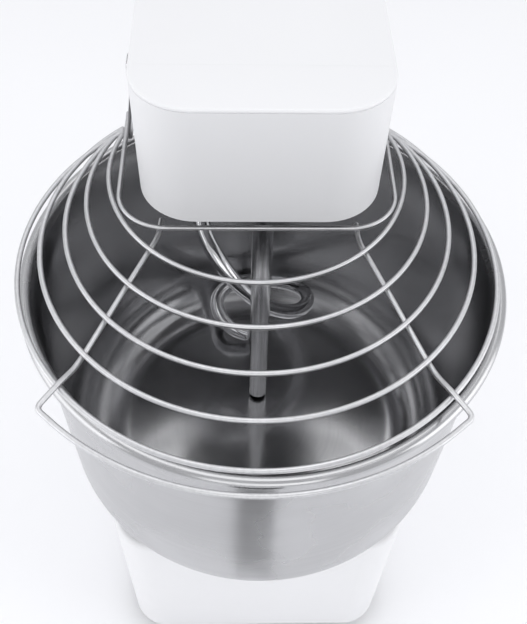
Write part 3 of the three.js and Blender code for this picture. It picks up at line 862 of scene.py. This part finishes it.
def guard_arms():
    """Flat strips that lean back from the hinge bolts to the rear ends of the rails."""
    for side, sign in (("left", -1), ("right", 1)):
        node = f"guard_arm_{side}"
        low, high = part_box(node)
        hinge = middle(f"hinge_pin_{side}")
        foot_y = high[1] - ARM_WIDTH / 2
        lean = (foot_y - hinge.y) / (hinge.z - low[2])
        at_rail = guard_x + sign * (RAIL_HALF * MM - WIRE_RADIUS - WELD_GAP - ARM_THICKNESS / 2)
        at_head = head_side(sign) + sign * (ARM_GAP + ARM_THICKNESS / 2)
        low_bend, high_bend = at(0, 0, 34).z, at(0, 0, 124).z
        corners = [(at_rail, low[2]), (at_rail, low_bend), (at_head, high_bend), (at_head, high[2])]
        bends = [Vector((x, hinge.y + lean * (hinge.z - z), z)) for x, z in corners]
        piece = strip(f"guard_strap_{side}", softened(bends, 9 * MM, 8))
        bolt_hole = Vector((at_head, hinge.y, hinge.z))
        drill(piece, [(bolt_hole, (1, 0, 0), 5.3 * MM)])
        place(piece, "guard", sheet_steel, "stainless", node)


def strip(name, path):
    """A bent flat strip with rounded ends, its width along Y."""
    loops = []
    lengths = [0.0]
    for a, b in zip(path, path[1:]):
        lengths.append(lengths[-1] + (b - a).length)
    path, lengths = with_fine_ends(path, lengths, 12 * MM)
    half = ARM_WIDTH / 2
    corner = 11 * MM
    for i, point in enumerate(path):
        across = Vector((0, 1, 0)).cross(direction_at(path, i)).normalized()
        from_end = min(lengths[i], lengths[-1] - lengths[i])
        width = half
        if from_end < corner:
            width = half - corner + math.sqrt(max(corner**2 - (corner - from_end) ** 2, 0))
        loops.append(strip_section(point, across, width))
    return mesh_object(name, *loft(loops))


def with_fine_ends(path, lengths, reach):
    """Adds points near both ends of a path, so that the rounded ends come out smooth."""
    steps = 10
    total = lengths[-1]
    wanted = [reach * (k / steps) ** 2 for k in range(steps + 1)]
    wanted += [total - w for w in reversed(wanted)]
    wanted += [length for length in lengths if reach < length < total - reach]
    result = []
    for length in sorted(wanted):
        i = max(k for k in range(len(lengths) - 1) if lengths[k] <= length + 1e-9)
        share = (length - lengths[i]) / (lengths[i + 1] - lengths[i])
        result.append((path[i].lerp(path[i + 1], min(share, 1)), length))
    return [point for point, _ in result], [length for _, length in result]


def strip_section(point, across, half_width):
    """A rectangle with slightly rounded edges, its width along Y and its thickness across."""
    edge = 0.6 * MM
    half = ARM_THICKNESS / 2
    outline = [
        *arc((half_width - edge, half - edge), edge, 0, 90, 3),
        *arc((edge - half_width, half - edge), edge, 90, 180, 3),
        *arc((edge - half_width, edge - half), edge, 180, 270, 3),
        *arc((half_width - edge, edge - half), edge, 270, 360, 3),
    ]
    return [point + Vector((0, y, 0)) + across * t for y, t in outline]


def hinge_pins():
    """Bolts through the arms: a washer against the head, a shank and a domed head with a socket."""
    washer_radius, shank_radius, head_radius = 9 * MM, 5 * MM, 7 * MM
    crown_radius = 4 * MM
    washer_back = 0.3 * MM
    washer_front = ARM_GAP - 0.2 * MM
    seat = ARM_GAP + ARM_THICKNESS + 0.3 * MM
    socket_floor = seat + 0.5 * MM
    for side, sign in (("left", -1), ("right", 1)):
        node = f"hinge_pin_{side}"
        centre = middle(node)
        centre.x = head_side(sign)
        profile = [
            (0, washer_back),
            (washer_radius, washer_back),
            (washer_radius, washer_front),
            (shank_radius, washer_front),
            (shank_radius, seat),
            (head_radius, seat),
        ]
        for k in range(9):
            angle = math.pi / 2 * k / 8
            radius = crown_radius + (head_radius - crown_radius) * math.cos(angle)
            profile.append((radius, seat + (0.3 + 1.1 * math.sin(angle)) * MM))
        profile += [(3 * MM, seat + 1.35 * MM), (2.8 * MM, socket_floor), (0, socket_floor)]
        piece = turned(f"hinge_bolt_{side}", profile, centre, (sign, 0, 0), 48)
        place(piece, "machine", machined_steel, "steel", node)


# ---- Controls ----


BUTTON_HOLE = 11 * MM
MUSHROOM_HOLE = 5.5 * MM


def on_panel(node, out=0.0):
    """The point of the panel's face behind a control, moved out along +X."""
    return Vector((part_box("control_panel")[1][0] + out, middle(node).y, middle(node).z))


def control_panel():
    """The panel with holes for the push controls, its screws and the timer's marks."""
    low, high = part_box("control_panel")
    radii = {"start_button": BUTTON_HOLE, "stop_button": BUTTON_HOLE, "emergency_stop": MUSHROOM_HOLE}
    holes = [(middle(node).y, middle(node).z, radius) for node, radius in radii.items()]
    face = pierced_plate("control_plate", low, high, 5 * MM, holes)
    inset = 6 * MM
    x = high[0] - SCREW_SINK
    screws = []
    for y in (low[1] + inset, high[1] - inset):
        for z in (low[2] + inset, high[2] - inset):
            screws.append(screw(Vector((x, y, z)), (1, 0, 0), 3 * MM, 1.4 * MM))
    place(face, "machine", dark_plastic, "dark_plastic", "control_panel")
    place(joined("panel_screws", screws), "machine", machined_steel, "steel")
    dial_marks()


def dial_marks():
    """Short raised minute marks round the timer knob."""
    centre = on_panel("timer_knob", 0.2 * MM)
    inner_radius, length = 18.2 * MM, 1.4 * MM
    marks = []
    for k in range(11):
        angle = math.radians(120 - 30 * k)
        out = Vector((0, math.sin(angle), math.cos(angle)))
        start = centre + out * inner_radius
        marks.append(rod("mark", [start, start + out * length], 0.35 * MM, 8))
    place(joined("timer_marks", marks), "machine", wire_steel, "steel")


def timer_knob():
    """A knob with a plain skirt, a fluted grip and a raised pointer."""
    low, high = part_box("timer_knob")
    centre = on_panel("timer_knob")
    radius = (high[2] - low[2]) / 2
    height = high[0] - centre.x
    sides, flutes, flute_depth = 144, 18, 0.07
    skirt = [(0.8 * MM, 0.96), (1.5 * MM, 1.0), (height * 0.3, 1.0)]
    grip = [(height * 0.36, 0.86), (height * 0.9, 0.8), (height * 0.97, 0.76)]
    loops = []
    for out, share in [*skirt, *grip, (height, 0.68)]:
        depth = flute_depth if (out, share) in grip else 0
        loop = []
        for k in range(sides):
            turn = 2 * math.pi * k / sides
            r = radius * share * (1 - depth * (1 + math.cos(flutes * turn)) / 2)
            loop.append(centre + Vector((out, r * math.cos(turn), r * math.sin(turn))))
        loops.append(loop)
    knob = mesh_object("timer_dial_knob", *loft(loops))
    ends = [centre + Vector((height, 0, z)) for z in (3 * MM, 10 * MM)]
    pointer = rod("timer_pointer", ends, 0.6 * MM, 10)
    place(knob, "timer_knob", dark_plastic, "dark_plastic", "timer_knob")
    place(pointer, "timer_knob", wire_steel, "steel")


def push_buttons():
    """Each button is a cap with a rounded edge and a dished face, in a metal collar."""
    edge = 1.6 * MM
    for node, material, slot in (
        ("start_button", green_plastic, "green_plastic"),
        ("stop_button", red_plastic, "red_plastic"),
    ):
        low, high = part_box(node)
        radius = (high[2] - low[2]) / 2
        centre = on_panel(node, -0.8 * MM)
        height = high[0] - centre.x
        profile = [(0, 0), (radius, 0), (radius, height - edge)]
        profile += arc((radius - edge, height - edge), edge, 0, 90, 6)
        profile += [(radius * 0.7, height - 0.5 * MM), (0, height - 0.8 * MM)]
        piece = turned(f"{node}_cap", profile, centre, (1, 0, 0), 56)
        place(piece, node, material, slot, node)
        inside = radius + 0.5 * MM
        collar_profile = [
            (inside, 0),
            (radius + 3.2 * MM, 0),
            (radius + 3.0 * MM, 1.4 * MM),
            (radius + 2.2 * MM, 2.4 * MM),
            (inside, 2.6 * MM),
            (inside, 0),
        ]
        collar = turned(f"{node}_collar", collar_profile, on_panel(node), (1, 0, 0), 56)
        place(collar, "machine", machined_steel, "steel")


def emergency_stop():
    """A mushroom on a thin neck."""
    low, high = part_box("emergency_stop")
    centre = on_panel("emergency_stop")
    radius = (high[2] - low[2]) / 2
    height = high[0] - centre.x
    neck = 5 * MM
    underside = 6 * MM
    brim = 9 * MM
    profile = [
        (0, 0.3 * MM),
        (neck, 0.3 * MM),
        (neck, underside - 0.5 * MM),
        (neck + 4 * MM, underside),
        (radius - 1 * MM, underside),
        (radius, underside + 1.2 * MM),
        (radius, brim),
    ]
    for k in range(1, 11):
        angle = math.pi / 2 * k / 10
        profile.append((radius * math.cos(angle), brim + (height - brim) * math.sin(angle)))
    piece = turned("stop_mushroom", profile, centre, (1, 0, 0))
    place(piece, "emergency_stop", red_plastic, "red_plastic", "emergency_stop")


# ---- Floor, light and camera ----


def floor():
    """A flat grid, just under the feet."""
    reach = 6
    cuts = 8
    below = 0.5 * MM
    steps = [reach * (2 * i / cuts - 1) for i in range(cuts + 1)]
    vertices = [(x, y, -below) for y in steps for x in steps]
    row = cuts + 1
    faces = [
        (j * row + i, j * row + i + 1, (j + 1) * row + i + 1, (j + 1) * row + i)
        for j in range(cuts)
        for i in range(cuts)
    ]
    ground = mesh_object("studio_floor", vertices, faces)
    ground.data.materials.append(floor_paint())


def area_light(name, place_at, look_at, width, height, power):
    """A rectangular softbox that faces a point, in metres and watts."""
    data = bpy.data.lights.new(name, "AREA")
    data.shape = "RECTANGLE"
    data.size = width
    data.size_y = height
    data.energy = power
    light = bpy.data.objects.new(name, data)
    light.location = place_at
    light.rotation_mode = "QUATERNION"
    light.rotation_quaternion = (Vector(look_at) - Vector(place_at)).to_track_quat("-Z", "Y")
    bpy.context.scene.collection.objects.link(light)


def dark_card():
    """A narrow upright grey card in front of the bowl, which gives the steel its dark band.

    It is seen only in reflections.
    """
    left, right = at(-58, -345, 0), at(32, -360, 0)
    low, high = 0.02, 0.5
    corners = [
        (left.x, left.y, low),
        (right.x, right.y, low),
        (right.x, right.y, high),
        (left.x, left.y, high),
    ]
    card = mesh_object("reflection_card", corners, [(0, 1, 2, 3)])
    shader = Shader("card_grey", grey(0.1), roughness=0.9)
    shader.tinted(shader.noise(shader.coordinates, 4, 2), grey(0.09), grey(0.11))
    card.data.materials.append(shader.material)
    card.visible_camera = False
    card.visible_diffuse = False
    card.visible_shadow = False


def studio():
    """A light tent, evenly white but dimmer towards the front, with four softboxes."""
    world = bpy.data.worlds.new("studio")
    world.use_nodes = True
    nodes, links = world.node_tree.nodes, world.node_tree.links
    background = nodes["Background"]
    background.inputs["Color"].default_value = (0.97, 0.98, 1.0, 1)
    directions = nodes.new("ShaderNodeTexCoord")
    parts = nodes.new("ShaderNodeSeparateXYZ")
    links.new(directions.outputs["Generated"], parts.inputs[0])
    front_shade = nodes.new("ShaderNodeMapRange")
    front_shade.inputs["From Min"].default_value = -1
    front_shade.inputs["From Max"].default_value = -0.6
    front_shade.inputs["To Min"].default_value = 0.6
    front_shade.inputs["To Max"].default_value = 0.76
    links.new(parts.outputs["Y"], front_shade.inputs["Value"])
    links.new(front_shade.outputs["Result"], background.inputs["Strength"])
    scene = bpy.context.scene
    scene.world = world
    scene.view_settings.view_transform = "Standard"
    target = (0, bowl_axis.y, 0.4)
    for name, x in (("left_softbox", -2.6), ("right_softbox", 2.6)):
        area_light(name, (x, -0.7, 1.2), target, 2.2, 2.2, 21)
    area_light("top_softbox", (0, 0.4, 3.0), target, 2.4, 2.4, 18)
    area_light("front_softbox", (0, -3.0, 1.9), target, 2.4, 1.8, 16)
    dark_card()


def camera():
    """A 48.5 mm lens on a 36 mm sensor, above and in front of the bowl, turned a little to the right."""
    data = bpy.data.cameras.new("camera")
    data.lens = 48.5
    data.sensor_width = 36
    yaw, pitch, roll = (math.radians(a) for a in (2.79, 52.78, 2.22))
    ahead = Vector((math.sin(yaw) * math.cos(pitch), math.cos(yaw) * math.cos(pitch), -math.sin(pitch)))
    right = Vector((math.cos(yaw), -math.sin(yaw), 0))
    above = right.cross(ahead)
    turned_right = right * math.cos(roll) + above * math.sin(roll)
    turned_up = above * math.cos(roll) - right * math.sin(roll)
    rotation = Matrix((turned_right, turned_up, -ahead)).transposed()
    eye = bpy.data.objects.new("camera", data)
    eye.matrix_world = Matrix.Translation(at(-21.8, -477.3, 564.0)) @ rotation.to_4x4()
    bpy.context.scene.collection.objects.link(eye)
    bpy.context.scene.camera = eye


paint_cad_nodes()
head()
base()
column()
rear_panel_screws()
feet()
bowl()
bowl_plate()
breaker_bar()
hook()
guard_frame()
guard_arcs()
guard_handle()
guard_arms()
hinge_pins()
control_panel()
timer_knob()
push_buttons()
emergency_stop()
floor()
studio()
camera()
